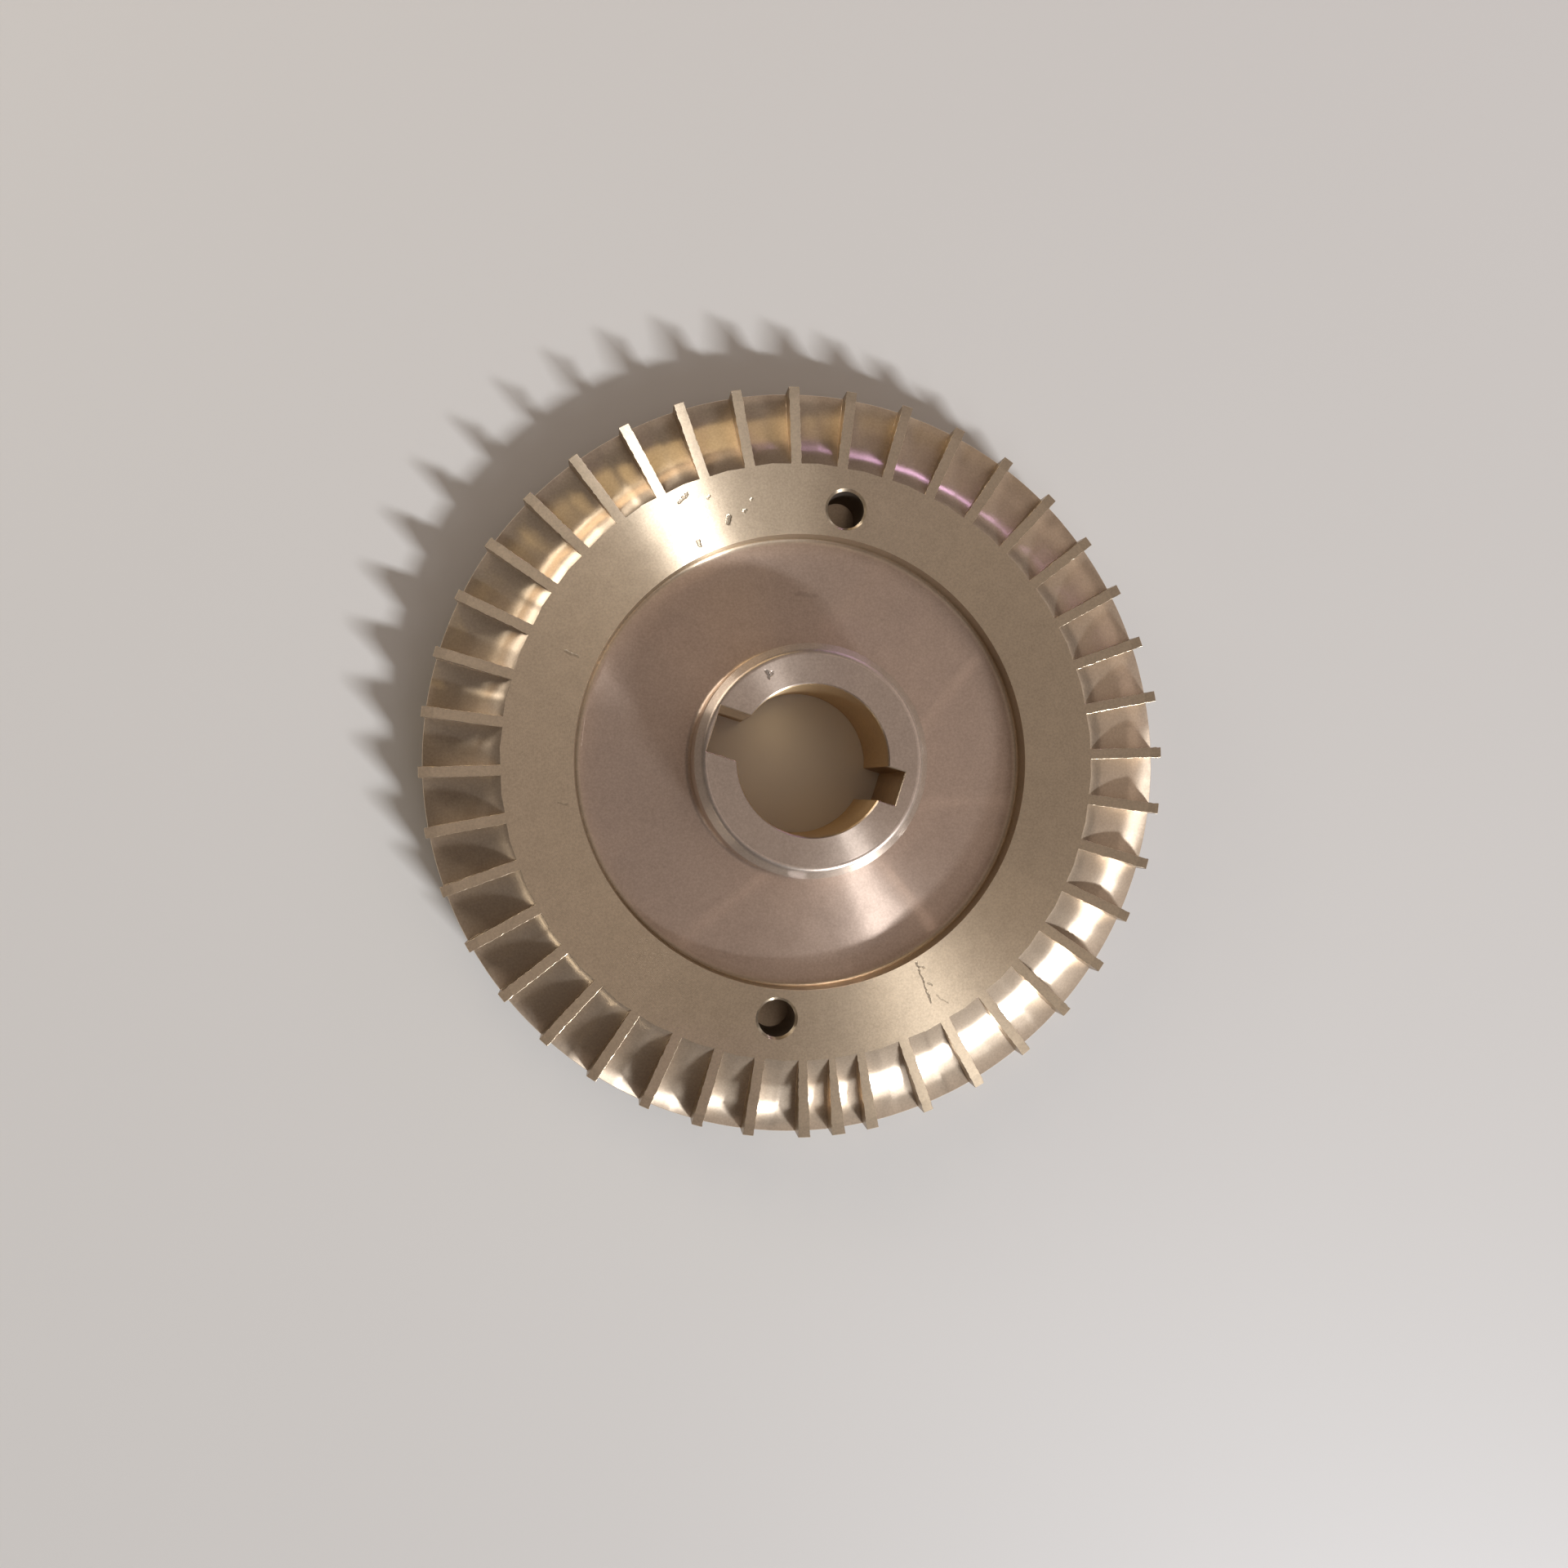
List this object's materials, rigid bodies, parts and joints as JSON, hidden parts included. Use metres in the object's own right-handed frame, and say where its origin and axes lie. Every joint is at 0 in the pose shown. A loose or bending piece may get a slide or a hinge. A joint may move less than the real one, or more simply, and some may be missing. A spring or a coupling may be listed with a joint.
{
  "type": "pump impeller",
  "caption": "Brass regenerative pump impeller: a thick disc with milled vane pockets round both faces, a raised hub with a keyed bore and a turned recess.",
  "frame": {"origin": "on the shaft line, at the rear hub face that the wheel rests on", "axes": "+Z along the shaft line, out of the front hub; +X and +Y in the plane of the wheel"},
  "size_m": [0.1308, 0.1308, 0.0209],
  "materials": {
    "worn_brass": "turned and milled brass, dulled and lightly scratched"
  },
  "bodies": {
    "root": {"impeller": "worn_brass"}
  },
  "joints": []
}
